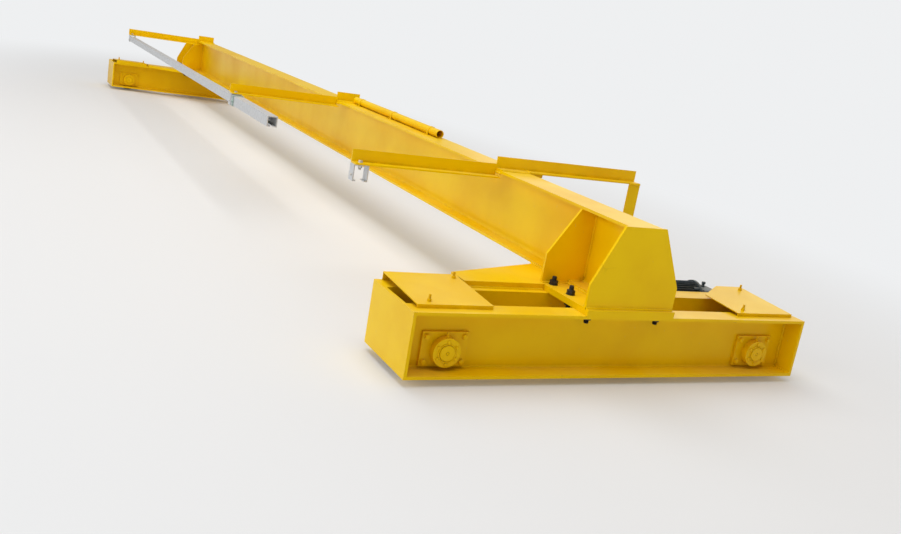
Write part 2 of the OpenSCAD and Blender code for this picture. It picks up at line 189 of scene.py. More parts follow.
class CraneFittingSizes(bpy.types.PropertyGroup):
    """Sizes of the fittings that a user would change."""

    weld_leg: length_of("Weld leg", "Leg of the fillet welds", 0.007, 0.003, 0.015)
    weld_ripple: length_of(
        "Weld ripple", "Distance between two ripples of a weld", 0.005, 0.002, 0.02)
    seat_stud_d: length_of(
        "Seat stud", "Diameter of the studs through the base plates", 0.02, 0.012, 0.03)
    bearing_bolt_d: length_of(
        "Bearing bolt", "Diameter of the bolts that hold the bearings", 0.012, 0.008, 0.02)
    cover_bolt_d: length_of(
        "Cover bolt", "Diameter of the bolts that hold the wheel covers", 0.01, 0.006, 0.016)
    motor_fins: bpy.props.IntProperty(
        name="Motor fins", description="Number of cooling fins round a travel motor",
        default=36, min=16, max=60)


class CraneFinishColours(bpy.types.PropertyGroup):
    """Colours of the finishes that a user would change."""

    enamel: colour_of("Enamel", "Yellow enamel of the steelwork", (0.94, 0.63, 0.0005))
    enamel_deep: colour_of(
        "Thick enamel", "Enamel where it lies thick or has run", (0.86, 0.52, 0.0005))
    drive_paint: colour_of(
        "Drive paint", "Dark enamel of the motors and gearboxes", (0.056, 0.086, 0.118))
    dust: colour_of("Dust", "Dust on upward faces", (0.72, 0.64, 0.44))
    floor: colour_of("Floor", "Plain pale floor", (0.8, 0.81, 0.82))


def sizes():
    """The fitting sizes of this scene."""
    return bpy.context.scene.crane_sizes


def colours():
    """The finish colours of this scene."""
    return bpy.context.scene.crane_colours


def start_group(name, **inputs):
    """A new shader node group, the vector that it takes and all its input sockets."""
    group = bpy.data.node_groups.new(name, "ShaderNodeTree")
    group.interface.new_socket(name="Vector", in_out="INPUT", socket_type="NodeSocketVector")
    for key, value in inputs.items():
        socket = group.interface.new_socket(
            name=key.replace("_", " "), in_out="INPUT", socket_type="NodeSocketFloat")
        socket.default_value = value
    taken = group.nodes.new("NodeGroupInput").outputs
    return group, taken["Vector"], taken


def end_group(group, **outputs):
    """Gives the group its output sockets, each fed by the source named for it."""
    for name in outputs:
        group.interface.new_socket(name=name, in_out="OUTPUT", socket_type="NodeSocketFloat")
    feed(group, group.nodes.new("NodeGroupOutput"), outputs)
    lay_out(group)
    return group


def feed(tree, node, inputs):
    """Links inputs of a node to their sources, and sets those that get a plain value."""
    for key, source in inputs.items():
        if isinstance(source, bpy.types.NodeSocket):
            tree.links.new(source, node.inputs[key])
        else:
            node.inputs[key].default_value = source


def add_node(tree, kind, inputs=None, **settings):
    """Adds a shader node with its properties, and feeds the inputs that are named."""
    node = tree.nodes.new("ShaderNode" + kind)
    for key, value in settings.items():
        setattr(node, key, value)
    feed(tree, node, inputs or {})
    return node


def noise(tree, vector, scale, detail, roughness, output="Fac"):
    """Output of a noise texture."""
    return add_node(tree, "TexNoise", {"Vector": vector, "Scale": scale, "Detail": detail,
                                       "Roughness": roughness}).outputs[output]


def maths(tree, operation, *terms):
    """Output of a Math node over sockets and constants."""
    return add_node(tree, "Math", dict(enumerate(terms)), operation=operation).outputs[0]


def times(tree, source, *factors):
    """Product of a socket and other sockets or constants."""
    for factor in factors:
        source = maths(tree, "MULTIPLY", source, factor)
    return source


def ramp(tree, value, start, end):
    """Goes smoothly from 0 at start to 1 at end."""
    return add_node(tree, "MapRange", {"Value": value, "From Min": start, "From Max": end},
                    interpolation_type="SMOOTHSTEP").outputs["Result"]


def mix_colour(tree, factor, under, over):
    """Mixes a colour or socket over another; plain colours are red, green and blue."""
    under, over = (tuple(c) + (1,) if isinstance(c, (tuple, list)) else c for c in (under, over))
    return add_node(tree, "Mix", {0: factor, 6: under, 7: over}, data_type="RGBA").outputs[2]


def lay_out(tree):
    """Sets the nodes in columns, each to the right of the nodes that feed it."""
    column, filled = dict.fromkeys(tree.nodes, 0), {}
    for _ in tree.nodes:
        for link in tree.links:
            column[link.to_node] = max(column[link.to_node], column[link.from_node] + 1)
    for node, place in column.items():
        row = filled.get(place, 0)
        filled[place] = row + 1
        node.location = (place * 220, row * -320)


def edge_wear_group():
    """Mask of edges where paint has rubbed thin, broken up by noise."""
    group, vector, taken = start_group(
        "Edge wear", Width=0.004, Breakup_Scale=30.0, Cover=0.5)
    rounded = add_node(group, "Bevel", {"Radius": taken["Width"]}, samples=4)
    flat = add_node(group, "NewGeometry")
    bend = add_node(group, "VectorMath",
                    {0: rounded.outputs["Normal"], 1: flat.outputs["Normal"]},
                    operation="DOT_PRODUCT")
    edge = ramp(group, bend.outputs["Value"], 0.995, 0.8)
    patches = noise(group, vector, taken["Breakup Scale"], 5.0, 0.65)
    broken = maths(group, "GREATER_THAN", patches, taken["Cover"])
    return end_group(group, Mask=times(group, edge, broken))


def settled_dust_group():
    """Mask of dust that lies on upward faces, thicker in patches."""
    group, vector, taken = start_group("Settled dust", Scale=3.0, Amount=0.5)
    facing = add_node(group, "SeparateXYZ", {0: add_node(group, "TexCoord").outputs["Normal"]})
    up = ramp(group, facing.outputs["Z"], 0.45, 1.0)
    cloud = ramp(group, noise(group, vector, taken["Scale"], 6.0, 0.6), 0.35, 0.75)
    return end_group(group, Mask=times(group, up, cloud, taken["Amount"]))


def painted_corner_shade_group():
    """Mask of painted shade that darkens inside corners and beside welds, found by ambient
    occlusion and broken up by noise.
    """
    group, vector, taken = start_group("Painted corner shade", Reach=0.04, Amount=0.5)
    shut = add_node(group, "AmbientOcclusion", {"Distance": taken["Reach"]}, samples=4)
    corner = ramp(group, shut.outputs["AO"], 0.85, 0.35)
    cloud = ramp(group, noise(group, vector, 14.0, 5.0, 0.65), 0.3, 0.7)
    return end_group(group, Mask=times(group, corner, cloud, taken["Amount"]))


def scuffs_group():
    """Masks of thin rubbed lines and of small spots."""
    group, vector, taken = start_group("Scuffs", Scale=6.0, Amount=0.5)
    bend = noise(group, vector, 2.0, 2.0, 0.5, "Color")
    shifted = add_node(group, "VectorMath", {0: bend, 1: (0.35, 0.35, 0.35), 2: vector},
                       operation="MULTIPLY_ADD")
    cells = add_node(group, "TexVoronoi", {"Vector": shifted.outputs[0], "Scale": taken["Scale"]},
                     feature="DISTANCE_TO_EDGE")
    line = ramp(group, cells.outputs["Distance"], 0.012, 0.002)
    gate = ramp(group, noise(group, vector, 4.0, 4.0, 0.6), 0.6, 0.72)
    fine = times(group, taken["Scale"], 9.0)
    spots = ramp(group, noise(group, vector, fine, 3.0, 0.6), 0.69, 0.76)
    return end_group(group, Lines=times(group, line, gate, taken["Amount"]),
                     Spots=times(group, spots, taken["Amount"]))


def paint_relief_group():
    """Height of sprayed enamel over rolled steel, and its cloudy shade."""
    group, vector, taken = start_group("Paint relief", Peel_Scale=260.0, Rolling_Scale=9.0)
    peel = noise(group, vector, taken["Peel Scale"], 2.0, 0.45)
    rolled = noise(group, vector, taken["Rolling Scale"], 3.0, 0.5)
    cloud = noise(group, vector, 2.3, 5.0, 0.55)
    return end_group(group, Height=maths(group, "ADD", times(group, peel, 0.25), rolled),
                     Cloud=ramp(group, cloud, 0.3, 0.72))


def metal_grain_group():
    """Colour cells and fine grain of bare or plated metal."""
    group, vector, taken = start_group("Metal grain", Cell_Scale=60.0, Grain_Scale=400.0)
    cells = add_node(group, "TexVoronoi", {"Vector": vector, "Scale": taken["Cell Scale"]})
    split = add_node(group, "SeparateColor", {0: cells.outputs["Color"]})
    return end_group(group, Cells=split.outputs[0],
                     Grain=noise(group, vector, taken["Grain Scale"], 4.0, 0.6))


EFFECTS = {}
FINISHES = {}


def place_effect(tree, vector, name, **values):
    """Puts a shared effect in a material with this material's own values."""
    node = add_node(tree, "Group", {"Vector": vector}, node_tree=EFFECTS[name], label=name)
    feed(tree, node, {key.replace("_", " "): value for key, value in values.items()})
    return node.outputs


def start_material(name):
    """New material with its shader and its object coordinates."""
    material = bpy.data.materials.new(name)
    material.use_nodes = True
    tree = material.node_tree
    coords = add_node(tree, "TexCoord")
    return material, tree, tree.nodes["Principled BSDF"], coords.outputs["Object"]


def dress_shader(tree, shader, colour, rough, height, strength, distance, constants):
    """Feeds colour, roughness and bump to the shader, and sets its constants."""
    bump = add_node(tree, "Bump", {"Height": height, "Strength": strength, "Distance": distance})
    feed(tree, shader, {"Base Color": colour, "Roughness": rough, "Normal": bump.outputs[0],
                        **constants})
    lay_out(tree)


def blend_to_output(tree, output, factor, first, second):
    """Mixes two shaders into the tree's output."""
    both = add_node(tree, "MixShader", {0: factor, 1: first.outputs[0], 2: second.outputs[0]})
    feed(tree, tree.nodes[output], {"Surface": both.outputs[0]})
    lay_out(tree)


def paint_material(name, main, deep, under, roughness, dust, scuff, edge_width, cover, tint):
    """Enamel over steel: clouds, scuffs, dust on top, painted shade in inside corners and rubbed
    edges.
    """
    material, tree, shader, vector = start_material(name)
    dust_colour = tuple(colours().dust)
    relief = place_effect(tree, vector, "Paint relief")
    dusty = place_effect(tree, vector, "Settled dust", Scale=2.6, Amount=dust)["Mask"]
    scuffed = place_effect(tree, vector, "Scuffs", Scale=5.0, Amount=scuff)
    worn = place_effect(
        tree, vector, "Edge wear", Width=edge_width, Breakup_Scale=22.0, Cover=cover)
    # Painted shade: inside corners get the deep enamel darkened to 0.42 of its colour, mixed in
    # below
    painted_shade = place_effect(tree, vector, "Painted corner shade", Reach=0.035, Amount=0.55)
    colour = mix_colour(tree, relief["Cloud"], tuple(main), tuple(deep))
    for mask, over in ((scuffed["Lines"], [c * 0.55 for c in deep]),
                       (scuffed["Spots"], [c * 0.7 for c in dust_colour]), (dusty, dust_colour),
                       (painted_shade["Mask"], [c * 0.42 for c in deep]), (worn["Mask"], under)):
        colour = mix_colour(tree, mask, colour, over)
    matt = maths(tree, "MULTIPLY_ADD", dusty, 0.45, roughness)
    rough = maths(tree, "MULTIPLY_ADD", relief["Cloud"], 0.08, matt)
    dress_shader(tree, shader, colour, rough, relief["Height"], 0.35, 0.0006,
                 {"Specular IOR Level": 0.22, "Specular Tint": (*tint, 1), "Coat Weight": 0.03,
                  "Coat Roughness": 0.16})
    return material


def metal_material(name, light, dark, roughness, cell_scale, grain_scale, metallic, dust):
    """Bare or plated steel with cells of shade and a fine grain."""
    material, tree, shader, vector = start_material(name)
    grain = place_effect(
        tree, vector, "Metal grain", Cell_Scale=cell_scale, Grain_Scale=grain_scale)
    dusty = place_effect(tree, vector, "Settled dust", Scale=5.0, Amount=dust)
    shade = mix_colour(tree, grain["Cells"], dark, light)
    colour = mix_colour(tree, dusty["Mask"], shade, tuple(colours().dust))
    rough = maths(tree, "MULTIPLY_ADD", grain["Grain"], 0.22, roughness - 0.11)
    dress_shader(tree, shader, colour, rough, grain["Grain"], 0.25, 0.0004,
                 {"Metallic": metallic})
    return material


GROUPS = (edge_wear_group, settled_dust_group, painted_corner_shade_group, scuffs_group,
          paint_relief_group, metal_grain_group)

# Metals by finish: slot, name, light and dark shade, roughness, cell and grain scale,
# metallic, dust
METALS = {
    "galvanised": ("galvanised", "Galvanised steel", (0.66, 0.68, 0.7), (0.57, 0.59, 0.61),
                   0.42, 90.0, 500.0, 0.45, 0.2),
    "zinc": ("galvanised", "Zinc plating", (0.74, 0.72, 0.66), (0.6, 0.58, 0.53),
             0.34, 300.0, 900.0, 0.85, 0.1),
    "black bolt": ("wheel_steel", "Blackened steel", (0.045, 0.042, 0.04),
                   (0.022, 0.021, 0.02), 0.45, 250.0, 900.0, 0.6, 0.1),
    "wheel steel": ("wheel_steel", "Wheel steel", (0.24, 0.23, 0.22), (0.2, 0.19, 0.175),
                    0.42, 160.0, 350.0, 0.8, 0.15),
    "black plastic": ("drive_paint", "Black plastic", (0.02, 0.02, 0.021),
                      (0.014, 0.014, 0.015), 0.5, 90.0, 600.0, 0.0, 0.3),
    "clamp": ("galvanised", "Plated clamp", (0.42, 0.55, 0.5), (0.3, 0.42, 0.38),
              0.4, 120.0, 500.0, 0.6, 0.1),
}
SLOT_FINISH = {"yellow_paint": "enamel", "galvanised": "galvanised",
               "wheel_steel": "wheel steel", "drive_paint": "drive"}


def make_finishes():
    """Builds the shared effects and every finish."""
    tint = colours()
    for build in GROUPS:
        group = build()
        EFFECTS[group.name] = group
    FINISHES["enamel"] = paint_material(
        "Yellow enamel", tint.enamel, tint.enamel_deep, (0.3, 0.17, 0.05),
        0.3, 0.1, 0.22, 0.0035, 0.66, (1.0, 0.8, 0.3))
    FINISHES["drive"] = paint_material(
        "Drive enamel", tint.drive_paint, [c * 0.8 for c in tint.drive_paint],
        (0.2, 0.2, 0.2), 0.3, 0.35, 0.5, 0.002, 0.58, (1.0, 1.0, 1.0))
    for finish, (_, *values) in METALS.items():
        FINISHES[finish] = metal_material(*values)


def place_object(name, data):
    """New object in the scene, at the origin."""
    placed = bpy.data.objects.new(name, data)
    bpy.context.scene.collection.objects.link(placed)
    return placed


def place_shape(name, shape):
    """New object of a bmesh, which is freed."""
    mesh = bpy.data.meshes.new(name)
    shape.to_mesh(mesh)
    shape.free()
    return place_object(name, mesh)


def finish_piece(name, shape, finish, body="bridge", smooth_angle=35.0):
    """Makes an object of a bmesh, gives it its finish and lets it ride on a body."""
    bmesh.ops.recalc_face_normals(shape, faces=shape.faces)
    piece = place_shape(name, shape)
    piece.data.shade_smooth()
    piece.data.set_sharp_from_angle(angle=math.radians(smooth_angle))
    piece.data.materials.append(FINISHES[finish])
    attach(piece, body)
    return piece


def pour(small, large, matrix=None):
    """Moves a small bmesh into a large one, so that the steps that make it stay quick."""
    if matrix is not None:
        bmesh.ops.transform(small, matrix=matrix, verts=small.verts[:])
    carrier = bpy.data.meshes.new("carrier")
    small.to_mesh(carrier)
    small.free()
    large.from_mesh(carrier)
    bpy.data.meshes.remove(carrier)


def stand(place, axis=(0, 0, 1)):
    """Matrix that stands +Z along an axis at a place."""
    turn = Vector((0, 0, 1)).rotation_difference(Vector(axis).normalized())
    return Matrix.Translation(Vector(place)) @ turn.to_matrix().to_4x4()


def raised(matrix, height):
    """The same stand, moved along its own +Z."""
    return matrix @ Matrix.Translation((0, 0, height))


def turned(matrix, angle, axis="Z"):
    """The same stand, turned about one of its own axes."""
    return matrix @ Matrix.Rotation(angle, 4, axis)


def round_edges(shape, edges, offset, segments=2):
    """Bevels edges of a form."""
    bmesh.ops.bevel(
        shape, geom=edges, offset=offset, offset_type="OFFSET", segments=segments,
        profile=0.5, affect="EDGES", clamp_overlap=True, material=-1)


def add_prism(shape, sides, radius, height, matrix, bevel, top_only=False, turn=0.0):
    """Upright prism or round bar from z 0 to its height, with bevelled rims."""
    alone = bmesh.new()
    bmesh.ops.create_cone(
        alone, cap_ends=True, cap_tris=False, segments=sides,
        radius1=radius, radius2=radius, depth=height)
    bmesh.ops.translate(alone, verts=alone.verts[:], vec=(0, 0, height / 2))
    bmesh.ops.rotate(alone, verts=alone.verts[:], cent=(0, 0, 0),
                     matrix=Matrix.Rotation(turn, 3, "Z"))
    rims = [edge for edge in alone.edges
            if abs(edge.verts[0].co.z - edge.verts[1].co.z) < SAME_PLACE
            and (edge.verts[0].co.z > height / 2 or not top_only)]
    round_edges(alone, rims, bevel)
    pour(alone, shape, matrix)


def add_box(shape, corner, size, bevel=0.0, segments=2, matrix=None):
    """Box from its lowest corner, with bevelled edges."""
    alone = bmesh.new()
    bmesh.ops.create_cube(alone, size=1.0)
    bmesh.ops.scale(alone, verts=alone.verts[:], vec=size)
    bmesh.ops.translate(alone, verts=alone.verts[:], vec=Vector(corner) + Vector(size) / 2)
    if bevel:
        round_edges(alone, alone.edges[:], bevel, segments)
    pour(alone, shape, matrix)


def add_turned(shape, profile, matrix, steps):
    """Spins a (radius, height) outline into a closed turned piece."""
    alone = bmesh.new()
    verts = [bmesh.ops.create_vert(alone, co=(r, 0, z))["vert"][0] for r, z in profile]
    edges = [alone.edges.new(pair) for pair in zip(verts, verts[1:])]
    if profile[0][0] and profile[-1][0]:
        edges.append(alone.edges.new((verts[-1], verts[0])))
    bmesh.ops.spin(
        alone, geom=verts + edges, cent=(0, 0, 0), axis=(0, 0, 1), dvec=(0, 0, 0),
        angle=math.tau, steps=steps, use_merge=True)
    bmesh.ops.remove_doubles(alone, verts=alone.verts[:], dist=SAME_PLACE)
    pour(alone, shape, matrix)


def add_hex(shape, diameter, height, matrix, turn):
    """Nut or bolt head with chamfered corners on its top."""
    across = diameter * HEX_ACROSS
    add_prism(shape, 6, across / math.sqrt(3), height, matrix, across * 0.045, True, turn)


def add_washer(shape, diameter, matrix, sides, reach):
    """Washer whose radius is given in diameters of its thread."""
    add_prism(shape, sides, diameter * reach, diameter * WASHER_T, matrix, diameter * 0.03)


def add_screw(shape, diameter, matrix, turn=0.0):
    """Hex bolt head without a washer, standing on z 0."""
    add_hex(shape, diameter, diameter * HEAD_H, matrix, turn)


def add_bolt(shape, diameter, matrix, turn=0.0):
    """Hex bolt head on its washer, standing on z 0."""
    add_washer(shape, diameter, matrix, 28, 1.0)
    add_screw(shape, diameter, raised(matrix, diameter * WASHER_T), turn)


def add_bolt_ring(shape, centre, facing, radius, diameter, phase):
    """Six bolt heads in a ring on a face that looks along X."""
    x, y, z = centre
    for step in range(6):
        angle = math.tau * (step + phase) / 6
        place = (x, y + radius * math.cos(angle), z + radius * math.sin(angle))
        add_screw(shape, diameter, stand(place, (facing, 0, 0)), angle)


def add_stud(shape, diameter, matrix, length):
    """Threaded end of a stud from z 0."""
    pitch, radius = diameter * THREAD_PITCH, diameter / 2
    root = radius - pitch * 0.55
    profile = [(0.0, 0.0), (root, 0.0)]
    z = 0.0
    while z + pitch < length - radius * 0.12:
        profile += [(radius, z + pitch * 0.5), (root, z + pitch)]
        z += pitch
    profile += [(radius * 0.84, length), (0.0, length)]
    add_turned(shape, profile, matrix, steps=20)


def add_nut_on_stud(shape, diameter, matrix, out, turn=0.0):
    """Washer and nut, with the stud's thread standing out beyond them."""
    add_washer(shape, diameter, matrix, 32, 0.92)
    add_hex(shape, diameter, diameter * NUT_H, raised(matrix, diameter * WASHER_T), turn)
    add_stud(shape, diameter, raised(matrix, diameter * NUT_H), diameter * WASHER_T + out)


def add_weld(shape, start, end, leg, into):
    """Fillet weld bead along an inside corner; into points to the bead's open side."""
    start, end = Vector(start), Vector(end)
    run = end - start
    steps = max(2, round(run.length / (sizes().weld_ripple / 2)))
    along, up = run.normalized(), Vector(into).normalized()
    side = along.cross(up).normalized()
    bead = bmesh.new()
    verts = bmesh.ops.create_circle(bead, cap_ends=True, segments=8, radius=leg)["verts"]
    turn = Matrix((side, up, along)).transposed().to_4x4()
    bmesh.ops.transform(bead, matrix=Matrix.Translation(start) @ turn, verts=verts)
    bmesh.ops.spin(
        bead, geom=bead.faces[:], cent=start, axis=along, dvec=run / steps, angle=0.0,
        steps=steps, use_duplicate=False)
    for vert in bead.verts:
        offset = vert.co - start
        travel = offset.dot(along)
        step = round(travel / (run.length / steps))
        ripple = 0.1 if step % 2 else -0.06
        swell = 1.0 + ripple + 0.05 * math.sin(travel * 61.0 + start.x * 7.0)
        if step in (0, steps):
            swell *= 0.55
        middle = along * travel
        vert.co = start + middle + (offset - middle) * swell
    pour(bead, shape)


def truck_x(sign, inward):
    """X of a place that lies the given distance inward of a truck's outer face."""
    return sign * (OUTER_X - inward)


def channel_webs(sign):
    """Facing and web face of a truck's outer and inner channel."""
    return ((sign, truck_x(sign, FLANGE_W - CHANNEL_WEB_T)),
            (-sign, truck_x(sign, TRUCK_W - FLANGE_W + CHANNEL_WEB_T)))


def weld_set(name, runs):
    """One piece of weld beads; a run is start, end, leg factor and open side."""
    shape = bmesh.new()
    for start, end, factor, into in runs:
        add_weld(shape, start, end, sizes().weld_leg * factor, into)
    finish_piece(name, shape, "enamel", smooth_angle=60.0)


def seat_weld_runs(sign):
    """Beads round the girder's seat on one truck."""
    outer, inner = (truck_x(sign, face) for face in CAP_FACES)
    plate_in, plate_out = (truck_x(sign, face) for face in SEAT_FACES)
    reach = truck_x(sign, TRUCK_W + SEAT_REACH)
    under, over = GIRDER_TOP - GIRDER_FLANGE_T, BASE_TOP + GIRDER_FLANGE_T
    web_low, web_high = BASE_TOP + WEB_BEAD_INSET, GIRDER_TOP - WEB_BEAD_INSET
    z = BASE_TOP
    runs = [((outer, -BASE_Y, z), (outer, BASE_Y, z), 1.0, (sign, 0, 1))]
    for side in (-1, 1):
        foot, toe = side * BASE_Y, side * GIRDER_Y
        web, root = side * GIRDER_WEB_T / 2, side * (GIRDER_ROOT_R + 0.006)
        for x, facing, base_leg, leg in ((inner, -sign, 1.0, 0.8), (plate_in, -sign, 0.9, 0.7),
                                         (plate_out, sign, 0.9, 0.7)):
            runs += [((x, toe, z), (x, foot, z), base_leg, (facing, 0, 1)),
                     ((x, web, web_low), (x, web, web_high), leg, (facing, side, 0)),
                     ((x, root, under), (x, toe, under), leg, (facing, 0, -1)),
                     ((x, root, over), (x, toe, over), leg, (facing, 0, 1))]
        runs += [((inner, toe, under), (inner, toe, GIRDER_TOP - 0.002), 0.6, (-sign, side, 0)),
                 ((plate_in, toe, z), (reach, toe, z), 0.9, (0, side, 1)),
                 ((plate_out, toe, z), (inner, toe, z), 0.9, (0, side, 1))]
    return runs


def truck_weld_runs(end, sign):
    """Beads inside the channels' ends and along the corner gussets."""
    runs = []
    open_x = (truck_x(sign, 0.003), truck_x(sign, TRUCK_W - 0.003))
    inside = ((TRUCK_Z + CHANNEL_FLANGE_T, 1), (TRUCK_TOP - CHANNEL_FLANGE_T, -1))
    for (facing, web), open_end in zip(channel_webs(sign), open_x):
        for side in (-1, 1):
            y = side * CHANNEL_END_Y
            runs.append(((web, y, TRUCK_Z + ROOT_Z), (web, y, TRUCK_TOP - ROOT_Z),
                         0.8, (facing, -side, 0)))
            runs += [((web + facing * ROOT_X, y, z), (open_end, y, z), 0.8, (0, -side, into))
                     for z, into in inside]
    lap, rim = truck_x(sign, TRUCK_W - 0.06), truck_x(sign, TRUCK_W - 0.002)
    gussets = end + "_corner_gussets"
    for tip, side in ((low(gussets).y, -1), (high(gussets).y, 1)):
        corner = (lap, tip, TRUCK_TOP)
        runs += [((lap, side * (BASE_Y + 0.004), TRUCK_TOP), corner, 0.9, (sign, 0, 1)),
                 (corner, (rim, tip, TRUCK_TOP), 0.9, (0, side, 1))]
    return runs


def arm_weld_runs():
    """Beads that hold the festoon arms, the collector arm, its knee and its leg."""
    runs = []
    top, under = GIRDER_TOP, GIRDER_TOP - GIRDER_FLANGE_T
    y = GIRDER_Y - 0.004
    for node in ARMS:
        back, front = low(node).x, high(node).x
        runs += [((front, -y, top), (front, y, top), 0.8, (1, 0, 1)),
                 ((back, -y, top), (back, y, top), 0.8, (-1, 0, 1)),
                 ((back + ANGLE_T, -GIRDER_Y, under), (front - 0.004, -GIRDER_Y, under),
                  0.8, (0, -1, -1))]
    seat = top + ANGLE_T
    runs.append(((low("collector_arm").x + ANGLE_T, GIRDER_Y, seat),
                 (high("collector_arm").x - 0.003, GIRDER_Y, seat), 0.6, (0, 0, 1)))
    knee_low, knee_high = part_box("collector_knee")
    for x, facing in ((knee_low.x, -1), (knee_high.x, 1)):
        runs += [((x, GIRDER_Y + 0.006, top), (x, knee_high.y - 0.002, top),
                  0.6, (facing, 0, -1)),
                 ((x, GIRDER_Y, under), (x, GIRDER_Y, top - 0.002), 0.6, (facing, 1, 0))]
    leg_low, leg_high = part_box("collector_leg")
    return runs + [
        ((leg_high.x, leg_low.y, leg_high.z), leg_high, 0.6, (1, 0, -1)),
        ((leg_low.x, leg_high.y, leg_high.z), leg_high, 0.6, (0, 1, -1))]


class CRANE_OT_welds(bpy.types.Operator):
    """Fillet welds of the seats, the end trucks, the arms and the collector bracket"""

    bl_idname = "crane.welds"
    bl_label = "Welds"

    def execute(self, context):
        for end, sign in ENDS:
            weld_set(end + "_seat_welds", seat_weld_runs(sign))
            weld_set(end + "_truck_welds", truck_weld_runs(end, sign))
        weld_set("arm_welds", arm_weld_runs())
        return {"FINISHED"}


class CRANE_OT_truck_bolts(bpy.types.Operator):
    """Studs that hold the base plates, and the bolts of the wheel covers"""

    bl_idname = "crane.truck_bolts"
    bl_label = "Seat studs and cover bolts"

    def execute(self, context):
        for end, sign in ENDS:
            self.seat_studs(end, sign)
        for end, sign in ENDS:
            self.cover_bolts(end, sign)
        return {"FINISHED"}

    def seat_studs(self, end, sign):
        """Two rows of studs through the base plate, nutted above and below."""
        shape = bmesh.new()
        d, under_flange = sizes().seat_stud_d, TRUCK_TOP - CHANNEL_FLANGE_T
        rows = zip(range(3), STUD_ROWS, (under_flange, TRUCK_TOP, under_flange))
        for (row, inward, under), side in product(rows, (-1, 1)):
            x, y = truck_x(sign, inward), side * STUD_Y
            turn = 0.4 * row + 0.2 * side
            add_nut_on_stud(shape, d, stand((x, y, BASE_TOP)), 0.02 - 0.002 * row, turn)
            add_nut_on_stud(shape, d, stand((x, y, under), (0, 0, -1)), 0.014, -turn)
        finish_piece(end + "_seat_studs", shape, "black bolt")

    def cover_bolts(self, end, sign):
        """Bolts through two opposite corners of each sloping cover."""
        shape = bmesh.new()
        slope = COVER_RISE / (TRUCK_W - COVER_LIP - 0.002)
        for inward, y in COVER_BOLTS:
            z = TRUCK_TOP + COVER_H + (inward - COVER_LIP) * slope
            place = stand((truck_x(sign, inward), y, z), (sign * slope, 0, 1))
            add_nut_on_stud(shape, sizes().cover_bolt_d, place, 0.016, y)
        finish_piece(end + "_cover_bolts", shape, "enamel")


class CRANE_OT_bearing_fittings(bpy.types.Operator):
    """Bolts, grease nipple and end ring of each axle bearing"""

    bl_idname = "crane.bearing_fittings"
    bl_label = "Bearing fittings"

    def execute(self, context):
        d = sizes().bearing_bolt_d
        bolt_z = (low("near_bearings").z + BEARING_BOLT_EDGE,
                  high("near_bearings").z - BEARING_BOLT_EDGE)
        for end, sign in ENDS:
            shape, rings = bmesh.new(), bmesh.new()
            for (facing, web), side in product(channel_webs(sign), (-1, 1)):
                face, boss = web + facing * BEARING_FACE, web + facing * BOSS_FACE
                y = side * WHEEL_Y
                for dy, z in product((-BEARING_BOLT_Y, BEARING_BOLT_Y), bolt_z):
                    add_bolt(shape, d, stand((face, y + dy, z), (facing, 0, 0)), dy * 9 + z)
                centre = (boss, y, WHEEL_Z)
                add_bolt_ring(shape, centre, facing, BOSS_BOLT_R, BOSS_BOLT_D, 0.5)
                add_turned(rings, BEARING_RING, stand(centre, (facing, 0, 0)), 56)
                nipple = (web + facing * NIPPLE_FOOT, y, WHEEL_Z + 0.0555)
                add_turned(rings, NIPPLE, stand(nipple), 20)
            finish_piece(end + "_bearing_bolts", shape, "enamel")
            finish_piece(end + "_bearing_rings", rings, "enamel")
        return {"FINISHED"}


class CRANE_OT_wheel_fittings(bpy.types.Operator):
    """Turned wheels on their axles, with keeper plates on the axle ends"""

    bl_idname = "crane.wheel_fittings"
    bl_label = "Wheels and axles"

    def execute(self, context):
        for (end, sign), (kind, side) in product(ENDS, SIDES):
            name, y = end + "_" + kind, side * WHEEL_Y
            body = name + "_wheelset"
            self.wheel(name, y, body)
            inner, outer = (low(name + "_axle").x, high(name + "_axle").x)[::sign]
            self.axle(name, stand((inner, y, WHEEL_Z), (sign, 0, 0)), abs(outer - inner), body)
            if kind == "driven":
                self.keeper(end, stand((inner, y, WHEEL_Z), (-sign, 0, 0)), body)
        return {"FINISHED"}

    def wheel(self, name, y, body):
        """Double-flanged wheel with its hub, turned in one piece."""
        wheel_low, wheel_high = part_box(name + "_wheel")
        centre, half = (wheel_low.x + wheel_high.x) / 2, (wheel_high.x - wheel_low.x) / 2
        side_face = [
            (AXLE_R, half - 0.002), (AXLE_R + 0.002, half), (HUB_R - 0.002, half),
            (HUB_R, half - 0.002), (HUB_R, RIM_HALF + 0.002), (HUB_R + 0.002, RIM_HALF),
            (WHEEL_R - 0.0015, RIM_HALF), (WHEEL_R, RIM_HALF - 0.0015),
            (WHEEL_R, TREAD_HALF + 0.0065), (WHEEL_R - 0.0025, TREAD_HALF + 0.004),
            (TREAD_R + 0.004, TREAD_HALF + 0.0008), (TREAD_R, TREAD_HALF - 0.004)]
        profile = side_face + [(radius, -place) for radius, place in reversed(side_face)]
        shape = bmesh.new()
        add_turned(shape, profile, stand((centre, y, WHEEL_Z), (1, 0, 0)), 96)
        wheel = finish_piece(name + "_turned_wheel", shape, "wheel steel", body)
        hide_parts(name + "_wheel")

    def axle(self, name, place, length, body):
        """Axle with chamfered ends and a centre hole in each."""
        profile = ((0.0, 0.0), (0.0045, 0.0), (0.0055, 0.006), (0.0065, 0.0002),
                   (0.0285, 0.0), (AXLE_R, 0.0015), (AXLE_R, length - 0.0015),
                   (0.0285, length), (0.0065, length), (0.0055, length - 0.006),
                   (0.0045, length), (0.0, length))
        shape = bmesh.new()
        add_turned(shape, profile, place, 56)
        axle = finish_piece(name + "_turned_axle", shape, "enamel", body)
        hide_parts(name + "_axle")

    def keeper(self, end, place, body):
        """Washer and bolt that hold a gearbox's hollow shaft on the axle's end."""
        shape = bmesh.new()
        add_turned(shape, KEEPER, place, 48)
        add_bolt(shape, 0.012, raised(place, KEEPER_T))
        finish_piece(end + "_axle_keeper", shape, "zinc", body)


